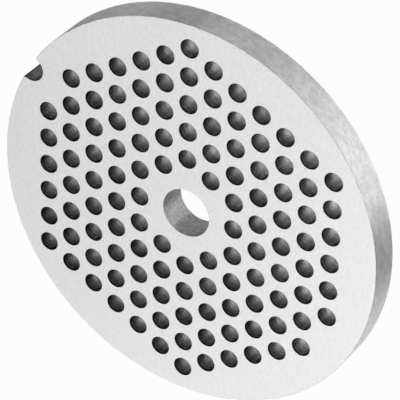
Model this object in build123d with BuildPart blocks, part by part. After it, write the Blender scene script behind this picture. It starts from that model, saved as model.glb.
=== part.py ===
from build123d import *
from math import radians, sin
import os

# Meat grinder plate: one flat steel disc, bored, drilled and notched.
# It lies on the face z = 0, with the bore's axis on Z and the notch towards +Y.

# Disc, turned to size and ground flat on both faces
outer_diameter = 62.0
thickness = 4.8
edge_break = 0.1

# Bore, which turns on the spigot at the end of the feed worm
bore_diameter = 7.7

# Mincing holes, drilled straight through on a triangular grid that fills a hexagon
hole_diameter = 3.0
hole_pitch = 4.54
hole_rings = 6

# Round-bottomed notch in the rim, which takes the housing's key
notch_diameter = 3.8
notch_depth = 2.3
notch_corner_radius = 0.4

# The notch lies on the line through two corners of the hexagon
outer_radius = outer_diameter / 2
notch_centre = Vector(0, outer_radius - notch_depth + notch_diameter / 2)

# Columns of holes run along Y, and a column stands between the holes of the next one
column_spacing = hole_pitch * sin(radians(60))

# No hole leaves a thinner wall than the web between two neighbouring holes
web = hole_pitch - hole_diameter


def wall_to(cut_centre, cut_diameter, hole_centre):
    """Metal between a mincing hole and another round cut, less than 0 where they meet."""
    return (hole_centre - cut_centre).length - (hole_diameter + cut_diameter) / 2


def has_room(hole_centre):
    """True where a hole keeps its wall to the bore, the rim and the notch.

    The hole opposite the one that the notch displaces is left out as well,
    so the pattern is the same either way round.
    """
    walls = [
        outer_radius - hole_centre.length - hole_diameter / 2,
        wall_to(Vector(0, 0), bore_diameter, hole_centre),
        wall_to(notch_centre, notch_diameter, hole_centre),
        wall_to(-notch_centre, notch_diameter, hole_centre),
    ]
    return min(walls) >= web


# Each column is one hole shorter than its neighbour nearer the middle
hole_centres = []
for column in range(-hole_rings, hole_rings + 1):
    holes_in_column = 2 * hole_rings + 1 - abs(column)
    first_hole = Vector(column * column_spacing, (1 - holes_in_column) * hole_pitch / 2)
    for place in range(holes_in_column):
        hole_centre = first_hole + Vector(0, place * hole_pitch)
        if has_room(hole_centre):
            hole_centres.append(hole_centre)


with BuildPart() as grinder_plate:

    # Disc with its notch, whose two corners at the rim are rounded
    with BuildSketch():
        Circle(outer_radius)
        with Locations(notch_centre):
            Circle(notch_diameter / 2, mode=Mode.SUBTRACT)
    extrude(amount=thickness)
    notch_corners = grinder_plate.edges().filter_by(Axis.Z).sort_by(Axis.Y)[-2:]
    fillet(notch_corners, notch_corner_radius)

    # Sharp edges taken off all round, on both faces
    chamfer(grinder_plate.faces().filter_by(Axis.Z).edges(), edge_break)

    # Bore and mincing holes, straight through and left sharp, as they do the cutting
    with Locations(Plane.XY.offset(thickness)):
        Hole(bore_diameter / 2)
        with Locations(hole_centres):
            Hole(hole_diameter / 2)

grinder_plate.part.label = "grinder_plate"

os.makedirs("parts", exist_ok=True)
export_step(grinder_plate.part, "parts/grinder_plate.step")

print(f"{len(hole_centres)} mincing holes, {web:.2f} mm of web between them")
print(f"volume {grinder_plate.part.volume:.1f} cubic mm")
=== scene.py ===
import math

import bpy
import numpy as np
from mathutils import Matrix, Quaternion, Vector
from mathutils.geometry import delaunay_2d_cdt


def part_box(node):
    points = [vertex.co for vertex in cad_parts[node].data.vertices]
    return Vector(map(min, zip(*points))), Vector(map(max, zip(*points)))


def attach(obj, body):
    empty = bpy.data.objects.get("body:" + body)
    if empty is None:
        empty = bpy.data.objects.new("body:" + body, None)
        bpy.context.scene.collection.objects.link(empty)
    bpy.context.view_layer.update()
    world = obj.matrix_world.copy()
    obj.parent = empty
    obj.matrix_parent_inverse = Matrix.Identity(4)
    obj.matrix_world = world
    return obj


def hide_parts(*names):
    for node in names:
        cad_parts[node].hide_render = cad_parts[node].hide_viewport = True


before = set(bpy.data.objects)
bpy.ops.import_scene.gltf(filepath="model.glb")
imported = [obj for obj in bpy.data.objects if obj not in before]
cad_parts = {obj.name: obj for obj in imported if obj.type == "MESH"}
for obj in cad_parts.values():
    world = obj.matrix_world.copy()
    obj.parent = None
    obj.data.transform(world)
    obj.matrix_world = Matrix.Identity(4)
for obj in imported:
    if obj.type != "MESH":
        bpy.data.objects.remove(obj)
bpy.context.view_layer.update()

# Meat grinder plate: one steel disc, ground on its faces, turned on its rim and drilled.
# It lies on its lower face, with the bore's axis on Z and the notch towards +Y.
MM = 0.001

low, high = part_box("grinder_plate")
thickness = high.z - low.z
outer_radius = 31.0 * MM
edge_break = 0.1 * MM
bore_radius = 3.85 * MM
hole_radius = 1.5 * MM
hole_pitch = 4.54 * MM
hole_rings = 6
notch_radius = 1.9 * MM
notch_depth = 2.3 * MM
notch_corner_radius = 0.4 * MM
notch_y = outer_radius - notch_depth + notch_radius

# The lines that the grinding wheel left on the faces run at this angle to X
grinding_angle = math.radians(8)

# Steps of the mesh round each circle, and rows round each broken edge
RIM_STEPS = 1080
CORNER_STEPS = 14
NOTCH_STEPS = 72
BORE_STEPS = 144
HOLE_STEPS = 64
EDGE_ROWS = 4

# Material slots, one for each way the plate was worked
FACE, RIM, NOTCH, BORE, HOLES, CORNER = range(6)


# Mesh of the plate

def hole_grid():
    """Centres of the mincing holes: columns along Y on a triangular grid that fills a hexagon.

    A hole stays where it keeps the web between two holes to the bore, the rim and the
    notch, and to the notch's place on the other side.
    """
    columns = []
    for column in range(-hole_rings, hole_rings + 1):
        count = 2 * hole_rings + 1 - abs(column)
        across = np.full(count, column * hole_pitch * math.sin(math.radians(60)))
        along = (np.arange(count) - (count - 1) / 2) * hole_pitch
        columns.append(np.column_stack([across, along]))
    centres = np.vstack(columns)
    web = hole_pitch - 2 * hole_radius
    reach = np.hypot(centres[:, 0], centres[:, 1])
    to_notch = np.hypot(centres[:, 0], np.abs(centres[:, 1]) - notch_y)
    room = np.minimum(reach - bore_radius, outer_radius - reach)
    room = np.minimum(room, to_notch - notch_radius) - hole_radius
    return centres[room >= web]


def arc(centre, radius, start, end, count, side=1):
    """Points on an arc from angle start towards angle end, and the metal's outward normals.

    The metal lies inside the arc where side is 1, and outside it where side is -1.
    """
    angle = start + (end - start) * np.arange(count) / count
    around = np.column_stack([np.cos(angle), np.sin(angle)])
    return centre + radius * around, side * around


def outline():
    """The plate's outline from above, anticlockwise, with its normals and material slots.

    It is a circle with a round notch on +Y. An arc that touches both rounds each
    corner between them: its centre lies on the circle of radius rim round the bore and
    on the circle of radius cut round the notch's centre. The corner towards +X is
    finished as the rim is. The other one, past its first quarter, has a slot of its own.
    """
    rim = outer_radius - notch_corner_radius
    cut = notch_radius + notch_corner_radius
    corner_y = (rim ** 2 - cut ** 2 + notch_y ** 2) / (2 * notch_y)
    corner_x = math.sqrt(rim ** 2 - corner_y ** 2)
    on_rim = math.atan2(corner_y, corner_x)
    on_cut = math.atan2(corner_y - notch_y, corner_x)
    right = np.array([corner_x, corner_y])
    left = np.array([-corner_x, corner_y])
    notch = np.array([0, notch_y])
    arcs = [
        arc(np.zeros(2), outer_radius, math.pi - on_rim, 2 * math.pi + on_rim, RIM_STEPS),
        arc(right, notch_corner_radius, on_rim, math.pi + on_cut, CORNER_STEPS),
        arc(notch, notch_radius, on_cut, -math.pi - on_cut, NOTCH_STEPS, -1),
        arc(left, notch_corner_radius, -on_cut, math.pi - on_rim, CORNER_STEPS),
    ]
    points = np.vstack([points for points, normals in arcs])
    normals = np.vstack([normals for points, normals in arcs])
    quarter = CORNER_STEPS // 4
    slots = np.repeat([RIM, NOTCH, CORNER], [
        RIM_STEPS + CORNER_STEPS,
        NOTCH_STEPS + quarter,
        CORNER_STEPS - quarter,
    ])
    return points, normals, slots


def edge_size(count, seed):
    """Width of the broken edge at each step of the outline.

    Round the rim it is a sum of waves with seeded phases, with a narrow bell added for
    each small nick. It grows to its full, even width towards the notch.
    """
    usual_share = 0.65
    wave_share = 0.13
    nicks = 46
    nick_steps = 0.8
    growing_steps = 20
    chance = np.random.default_rng(seed)
    step = np.arange(count)
    size = np.full(count, usual_share)
    for waves in (61, 97, 151, 263):
        size += wave_share * np.sin(2 * math.pi * (waves * step / count + chance.random()))
    for place in chance.integers(0, RIM_STEPS, nicks):
        size += chance.uniform(0.2, 0.7) * np.exp(-((step - place) / nick_steps) ** 2)
    on_rim = np.clip(np.minimum(step, RIM_STEPS - step) / growing_steps, 0, 1)
    return edge_break * (1 + on_rim * (size - 1))


def outer_wall():
    """Rim and notch as rows of points from the upper face to the lower one.

    Row by row, the outline goes outwards and down round a quarter circle, down the wall,
    and back in round another. Their radius is the broken edge's width at that step.
    """
    points, normals, slots = outline()
    turn = np.linspace(0, math.pi / 2, EDGE_ROWS)[:, None]
    upper = edge_size(len(points), 3)
    lower = edge_size(len(points), 4)
    upper_in, upper_down = upper * (1 - np.sin(turn)), upper * (1 - np.cos(turn))
    lower_in, lower_up = lower * (1 - np.sin(turn)), lower * (1 - np.cos(turn))
    inset = np.vstack([upper_in, lower_in[::-1]])
    depth = np.vstack([upper_down, thickness - lower_up[::-1]])
    plan = points - inset[:, :, None] * normals
    rows = np.concatenate([plan, high.z - depth[:, :, None]], axis=2)
    return rows, np.tile(slots, len(rows) - 1)


def round_walls(centres, radius, steps):
    """Straight round walls: for each centre a row of points at the upper face and one below."""
    angle = 2 * math.pi * np.arange(steps) / steps
    around = radius * np.column_stack([np.cos(angle), np.sin(angle)])
    rows = np.empty((len(centres), 2, steps, 3))
    rows[..., :2] = centres[:, None, None, :] + around
    rows[:, 0, :, 2] = high.z
    rows[:, 1, :, 2] = low.z
    return rows


def wall_quads(ids):
    """Quads between rows of point numbers that run anticlockwise, the first row on top.

    They face away from the middle.
    """
    after = np.roll(ids, -1, axis=-1)
    corners = [ids[..., :-1, :], ids[..., 1:, :], after[..., 1:, :], after[..., :-1, :]]
    return np.stack(corners, axis=-1).reshape(-1, 4)


def flat_triangles(points, loops):
    """Triangles between the outline and the edges of all holes, facing up.

    Each loop is an array of point numbers. The triangulation is Delaunay's, held to
    the loops, and leaves out what lies inside a hole.
    """
    used = np.concatenate(loops)
    plan = [Vector(point) for point in (points[used, :2] / MM).tolist()]
    ends = np.cumsum([len(loop) for loop in loops])
    borders = [part.tolist() for part in np.split(np.arange(len(used)), ends[:-1])]
    with_holes_left_out = 2
    made = delaunay_2d_cdt(plan, [], borders, with_holes_left_out, 1e-6)
    original = np.array([numbers[0] for numbers in made[3]])
    return used[original[np.array(made[2])]]


def plate_piece():
    """The whole plate as one closed mesh, with a material slot for each way it was worked."""
    wall, wall_slots = outer_wall()
    bore = round_walls(np.zeros((1, 2)), bore_radius, BORE_STEPS)
    holes = round_walls(hole_grid(), hole_radius, HOLE_STEPS)
    grids = [wall, bore, holes]
    points = np.vstack([grid.reshape(-1, 3) for grid in grids])

    first = np.cumsum([0] + [grid.size // 3 for grid in grids])
    wall_ids, bore_ids, hole_ids = [
        start + np.arange(grid.size // 3).reshape(grid.shape[:-1])
        for start, grid in zip(first, grids)
    ]
    upper = flat_triangles(points, [wall_ids[0], *bore_ids[:, 0], *hole_ids[:, 0]])
    lower = flat_triangles(points, [wall_ids[-1], *bore_ids[:, 1], *hole_ids[:, 1]])[:, ::-1]
    wall_faces = wall_quads(wall_ids)
    bore_faces = wall_quads(bore_ids)[:, ::-1]
    hole_faces = wall_quads(hole_ids)[:, ::-1]

    parts = [upper, lower, wall_faces, bore_faces, hole_faces]
    faces = [face for part in parts for face in part.tolist()]
    slots = np.concatenate([
        np.full(len(upper) + len(lower), FACE),
        wall_slots,
        np.full(len(bore_faces), BORE),
        np.full(len(hole_faces), HOLES),
    ])
    mesh = bpy.data.meshes.new("worked_plate")
    mesh.from_pydata(points.tolist(), [], faces)
    mesh.polygons.foreach_set("material_index", slots)
    mesh.set_sharp_from_angle(angle=math.radians(40))
    mesh.polygons.foreach_set("use_smooth", slots > FACE)
    for make_steel in (ground_face, turned_rim, milled_notch, bored_wall, drilled_walls,
                       filed_corner_painted_dark):
        mesh.materials.append(make_steel())
    mesh.update()

    piece = bpy.data.objects.new("worked_plate", mesh)
    bpy.context.scene.collection.objects.link(piece)
    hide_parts("grinder_plate")
    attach(piece, "root")
    return piece


# Materials

def linear(hex_colour):
    """The linear colour, with alpha 1, of an sRGB hex value such as c8c9c7."""
    channels = [int(hex_colour[place:place + 2], 16) / 255 for place in (0, 2, 4)]
    return [c / 12.92 if c <= 0.04045 else ((c + 0.055) / 1.055) ** 2.4 for c in channels] + [1]


def add(tree, kind, inputs, **settings):
    """Adds a node. Each input is given a plain value or another node's output."""
    node = tree.nodes.new(kind)
    for name, value in settings.items():
        setattr(node, name, value)
    for key, value in inputs.items():
        if isinstance(value, bpy.types.NodeSocket):
            tree.links.new(value, node.inputs[key])
        else:
            node.inputs[key].default_value = value
    return node


def new_material(name):
    """An empty material's tree and its output node."""
    material = bpy.data.materials.new(name)
    material.use_nodes = True
    tree = material.node_tree
    tree.nodes.clear()
    return material, tree, add(tree, "ShaderNodeOutputMaterial", {})


def worked_steel(name, dark, light, lines, blotches, roughness, anisotropy, spread, relief,
                 turn=0, painted_shade=((0, 1),), grazing="ffffff"):
    """Bare steel with tool lines and blotches.

    lines and blotches are the sizes in mm of one streak and one blotch along X, Y and Z,
    after a turn about Z. The two patterns shade the colour from dark to light and the
    roughness between its two values, and the lines stand relief mm high. Highlights
    stretch along spread, which is across the tool lines.

    painted_shade holds pairs: a depth in mm below the upper face, and the share of the colour
    that is left there. It paints shade into the colour: a cut's dark mouth, brighter further in.
    grazing is the colour that the steel takes where it is seen at a flat angle.
    """
    material, tree, output = new_material(name)
    place = add(tree, "ShaderNodeTexCoord", {}).outputs["Object"]
    patterns = []
    for sizes, detail in ((lines, 3), (blotches, 2)):
        mapped = add(tree, "ShaderNodeMapping", {
            "Vector": place,
            "Rotation": (0, 0, turn),
            "Scale": [size * MM for size in sizes],
        }, vector_type="TEXTURE")
        patterns.append(add(tree, "ShaderNodeTexNoise", {
            "Vector": mapped.outputs[0],
            "Scale": 1.0,
            "Detail": detail,
        }).outputs["Fac"])
    both = add(tree, "ShaderNodeMath", {0: patterns[0], 1: patterns[1]}, operation="ADD")
    shade = add(tree, "ShaderNodeMapRange", {
        "Value": both.outputs[0],
        "From Min": 0.6,
        "From Max": 1.4,
    })
    colour = add(tree, "ShaderNodeMix", {
        "Factor": shade.outputs[0],
        "A": linear(dark),
        "B": linear(light),
    }, data_type="RGBA")
    rough = add(tree, "ShaderNodeMapRange", {
        "Value": shade.outputs[0],
        "To Min": roughness[1],
        "To Max": roughness[0],
    })
    bump = add(tree, "ShaderNodeBump", {
        "Height": patterns[0],
        "Distance": relief * MM,
        "Strength": 1.0,
    })

    # Colour with painted shade, darker near the upper face. A new ramp has two stops, and the
    # last one goes
    height = add(tree, "ShaderNodeSeparateXYZ", {"Vector": place}).outputs["Z"]
    depth = add(tree, "ShaderNodeMapRange", {
        "Value": height,
        "From Min": high.z,
        "From Max": low.z,
    })
    ramp = add(tree, "ShaderNodeValToRGB", {"Fac": depth.outputs[0]})
    stops = ramp.color_ramp.elements
    for number, (deep, share) in enumerate(painted_shade):
        at = deep * MM / thickness
        stop = stops[0] if number == 0 else stops.new(at)
        stop.position = at
        stop.color = (share, share, share, 1)
    stops.remove(stops[-1])
    painted_shade_colour = add(tree, "ShaderNodeVectorMath", {
        0: colour.outputs["Result"],
        1: ramp.outputs[0],
    }, operation="MULTIPLY")

    stretch = add(tree, "ShaderNodeCombineXYZ", {"X": spread[0], "Y": spread[1], "Z": spread[2]})
    shader = add(tree, "ShaderNodeBsdfPrincipled", {
        "Base Color": painted_shade_colour.outputs[0],
        "Metallic": 1.0,
        "Specular Tint": linear(grazing),
        "Roughness": rough.outputs[0],
        "Anisotropic": anisotropy,
        "Tangent": stretch.outputs[0],
        "Normal": bump.outputs[0],
    })
    tree.links.new(shader.outputs[0], output.inputs[0])
    return material


def ground_face():
    """Hardened steel, surface-ground: pale satin, with a fine grain of short wheel marks.

    It mirrors the lamps behind it as one even, near-white sheen.
    """
    # Real wheel marks are about 0.05 mm wide. At 0.3 mm, 1.2 mm long, they show as grain
    return worked_steel(
        "ground_steel_face", "d4d4d4", "e6e6e6", (1.2, 0.3, 1.2), (0.2, 0.2, 0.2),
        (0.36, 0.42), 0.5, (-math.sin(grinding_angle), math.cos(grinding_angle), 0), 0.001,
        grinding_angle,
    )


def turned_rim():
    """Steel, fine-turned: mid-grey satin whose lathe lines run round the rim.

    Each low lamp stretches into a soft band across it, with dark between the bands, and
    a light mottle lies over both.
    """
    # Real lathe lines are under 0.1 mm apart and show by the stretched highlights alone.
    # The mottle has its real size, 0.4 mm in clouds of 1.2 mm
    return worked_steel(
        "turned_steel_rim", "c0c0c0", "e4e4e4", (0.4, 0.4, 0.3), (1.2, 1.2, 0.9),
        (0.46, 0.52), 0.9, (0, 0, 1), 0.001,
    )


def milled_notch():
    """Steel, milled through the thickness: dull and dark, with painted shade that makes it
    darkest under the upper edge.

    Marks of the cutter run down its wall.
    """
    # The cutter's marks have their real size, 0.35 mm
    return worked_steel(
        "milled_steel_notch", "666666", "a6a6a6", (0.35, 0.35, 5), (1, 1, 1),
        (0.4, 0.5), 0.5, (0, 0, 1), 0.003, 0,
        # Painted shade: the colour falls to 0.15 at the upper edge and reaches its full value 3
        # mm down
        ((0, 0.15), (0.2, 0.25), (0.4, 0.5), (1.5, 0.7), (3, 1)), "808080",
    )


def filed_corner_painted_dark():
    """Steel, filed: the corner between notch and rim, a dull line painted nearly black as a
    painted dark reflection.
    """
    # The file's marks have their real size, 0.2 mm
    return worked_steel(
        "filed_steel_corner_painted_dark", "101010", "1c1c1c", (0.2, 0.2, 5), (1, 1, 1),
        # Painted dark reflection and shade: a near-black colour, halved at the upper edge and
        # lighter towards the lower face
        (0.5, 0.6), 0.3, (0, 0, 1), 0.003, 0, ((0, 0.5), (0.2, 1), (4, 2)), "303030",
    )


def bored_wall():
    """Steel, bored: mid-grey with a gritty speckle and a soft highlight down one side."""
    # The speckle has its real size, 0.2 mm in patches of 0.5 mm
    return worked_steel(
        "bored_steel_wall", "8e8e8e", "d2d2d2", (0.25, 0.25, 0.18), (0.5, 0.5, 0.4),
        # Painted shade: the colour is halved at the upper edge and full from 0.2 mm down
        (0.28, 0.40), 0.4, (0, 0, 1), 0.006, 0, ((0, 0.5), (0.2, 1)),
    )


def drilled_walls():
    """Steel, drilled and ringed by the drill, with painted shade: dark under the edge, brighter
    with depth.

    The highlight lies where the wall mirrors what is under the plate.
    """
    # The drill's rings have their real size, 0.28 mm
    return worked_steel(
        "drilled_steel_wall", "7c7c7c", "cecece", (1.6, 1.6, 0.28), (3, 3, 3),
        (0.24, 0.32), 0.4, (0, 0, 1), 0.010, 0,
        # Painted shade: the colour falls to a tenth at the mouth and reaches its full value 2.6
        # mm down
        ((0, 0.1), (0.25, 0.12), (0.4, 0.42), (1, 0.52), (2.6, 1)), "b8b8b8",
    )


# Lights, floor, world and camera

def direction(azimuth, elevation):
    """Unit vector towards an azimuth from +X and an elevation above the floor, in degrees."""
    turn = math.radians(azimuth)
    rise = math.radians(elevation)
    flat = math.cos(rise)
    return Vector((math.cos(turn) * flat, math.sin(turn) * flat, math.sin(rise)))


def soft_light(name, azimuth, elevation, width, height, power):
    """An area lamp, which faces the bore from that direction, in degrees, and 0.6 m away."""
    lamp = bpy.data.lights.new(name, "AREA")
    lamp.shape = "RECTANGLE"
    lamp.size = width
    lamp.size_y = height
    lamp.energy = power
    holder = bpy.data.objects.new(name, lamp)
    bpy.context.scene.collection.objects.link(holder)
    holder.location = direction(azimuth, elevation) * 0.6
    holder.rotation_euler = direction(azimuth, elevation).to_track_quat("Z", "Y").to_euler()


def sent_on(tree, path):
    """An output that is 1 for the rays that steel or glass sends on, and 0 for the others."""
    return add(tree, "ShaderNodeMath", {
        0: path.outputs["Is Glossy Ray"],
        1: path.outputs["Is Transmission Ray"],
    }, operation="MAXIMUM").outputs[0]


def make_floor():
    """A wide sheet of white paper: white in the picture, with the plate's shadow kept faint.

    To what steel mirrors, it is partly clear, and more so from azimuth 135 to azimuth -45
    across the plate, so the world's sheen below it gives the walls of the cuts their
    highlights.
    """
    half = 3.0
    corners = [(-half, -half), (half, -half), (half, half), (-half, half)]
    mesh = bpy.data.meshes.new("floor")
    mesh.from_pydata([(x, y, low.z) for x, y in corners], [], [(0, 1, 2, 3)])
    floor = bpy.data.objects.new("floor", mesh)
    bpy.context.scene.collection.objects.link(floor)

    material, tree, output = new_material("white_paper")
    white = linear("ffffff")
    path = add(tree, "ShaderNodeLightPath", {})
    paper = add(tree, "ShaderNodeBsdfDiffuse", {"Color": linear("e6e6e6")})
    glow = add(tree, "ShaderNodeEmission", {"Color": white, "Strength": 1.0})
    clear = add(tree, "ShaderNodeBsdfTransparent", {"Color": white})
    seen = add(tree, "ShaderNodeMath", {0: path.outputs["Is Camera Ray"], 1: 0.97},
               operation="MULTIPLY")
    sheet = add(tree, "ShaderNodeMixShader", {
        0: seen.outputs[0],
        1: paper.outputs[0],
        2: glow.outputs[0],
    })
    across = add(tree, "ShaderNodeVectorMath", {
        0: add(tree, "ShaderNodeTexCoord", {}).outputs["Object"],
        1: direction(-45, 0),
    }, operation="DOT_PRODUCT").outputs["Value"]
    clearness = add(tree, "ShaderNodeMapRange", {
        "Value": across,
        "From Min": -30 * MM,
        "From Max": 30 * MM,
        "To Min": 0.28,
        "To Max": 0.52,
    })
    through = add(tree, "ShaderNodeMath", {0: sent_on(tree, path), 1: clearness.outputs[0]},
                  operation="MULTIPLY")
    mix = add(tree, "ShaderNodeMixShader", {
        0: through.outputs[0],
        1: sheet.outputs[0],
        2: clear.outputs[0],
    })
    tree.links.new(mix.outputs[0], output.inputs[0])
    material.cycles.emission_sampling = "NONE"
    mesh.materials.append(material)


def make_world():
    """The studio below the paper: white, with a brighter sheen towards azimuth -42, 42 down.

    Only steel and glass mirror it. Above the floor and to all other rays it is dark.
    """
    world = bpy.data.worlds.new("studio")
    world.use_nodes = True
    tree = world.node_tree
    tree.nodes.clear()
    towards = add(tree, "ShaderNodeTexCoord", {}).outputs["Generated"]
    facing = add(tree, "ShaderNodeVectorMath", {0: towards, 1: direction(-42, -42)},
                 operation="DOT_PRODUCT").outputs["Value"]
    sheen = add(tree, "ShaderNodeMapRange", {
        "Value": facing,
        "From Min": 0.72,
        "From Max": 0.97,
        "To Min": 1.0,
        "To Max": 2.12,
    }, interpolation_type="SMOOTHSTEP")
    height = add(tree, "ShaderNodeSeparateXYZ", {"Vector": towards}).outputs["Z"]
    below = add(tree, "ShaderNodeMath", {0: height, 1: 0.0}, operation="LESS_THAN")
    path = add(tree, "ShaderNodeLightPath", {})
    shown = add(tree, "ShaderNodeMath", {0: sent_on(tree, path), 1: below.outputs[0]},
                operation="MULTIPLY")
    strength = add(tree, "ShaderNodeMath", {0: shown.outputs[0], 1: sheen.outputs[0]},
                   operation="MULTIPLY")
    background = add(tree, "ShaderNodeBackground", {
        "Color": linear("ffffff"),
        "Strength": strength.outputs[0],
    })
    add(tree, "ShaderNodeOutputWorld", {0: background.outputs[0]})
    world.cycles.sampling_method = "NONE"
    bpy.context.scene.world = world


def make_camera():
    """The photograph's own view: a long lens, rolled so that the notch is at the upper left."""
    aim = Vector((3.776, -0.455, 4.823)) * MM
    back = direction(-7.88, 45.92)
    roll = math.radians(-131.31)
    lens = bpy.data.cameras.new("camera")
    lens.lens = 286.9
    lens.sensor_width = 36
    lens.clip_start = 0.01
    lens.clip_end = 20
    camera = bpy.data.objects.new("camera", lens)
    bpy.context.scene.collection.objects.link(camera)
    camera.location = aim + back * 453.5 * MM
    camera.rotation_mode = "QUATERNION"
    level = (-back).to_track_quat("-Z", "Y")
    camera.rotation_quaternion = level @ Quaternion((0, 0, 1), roll)
    bpy.context.scene.camera = camera


plate_piece()

# Large lamps behind the plate, which its upper face mirrors, and one beside it
soft_light("face_left", 210, 52, 0.28, 0.28, 0.79)
soft_light("face_right", 150, 52, 0.28, 0.28, 0.36)
soft_light("face_low", 180, 30, 0.28, 0.25, 0.35)
soft_light("far_side", 90, 30, 0.28, 0.25, 0.38)

# Low wide lamps round the plate, which the rim mirrors as bands
soft_light("rim_streak", -46, 4, 0.44, 0.07, 1.16)
soft_light("rim_front", -8, 4, 0.44, 0.07, 0.88)
soft_light("rim_far", 32, 4, 0.44, 0.07, 0.56)
soft_light("rim_end", 241, 4, 0.44, 0.07, 0.56)

make_floor()
make_world()
make_camera()

bpy.context.scene.view_settings.view_transform = "Standard"
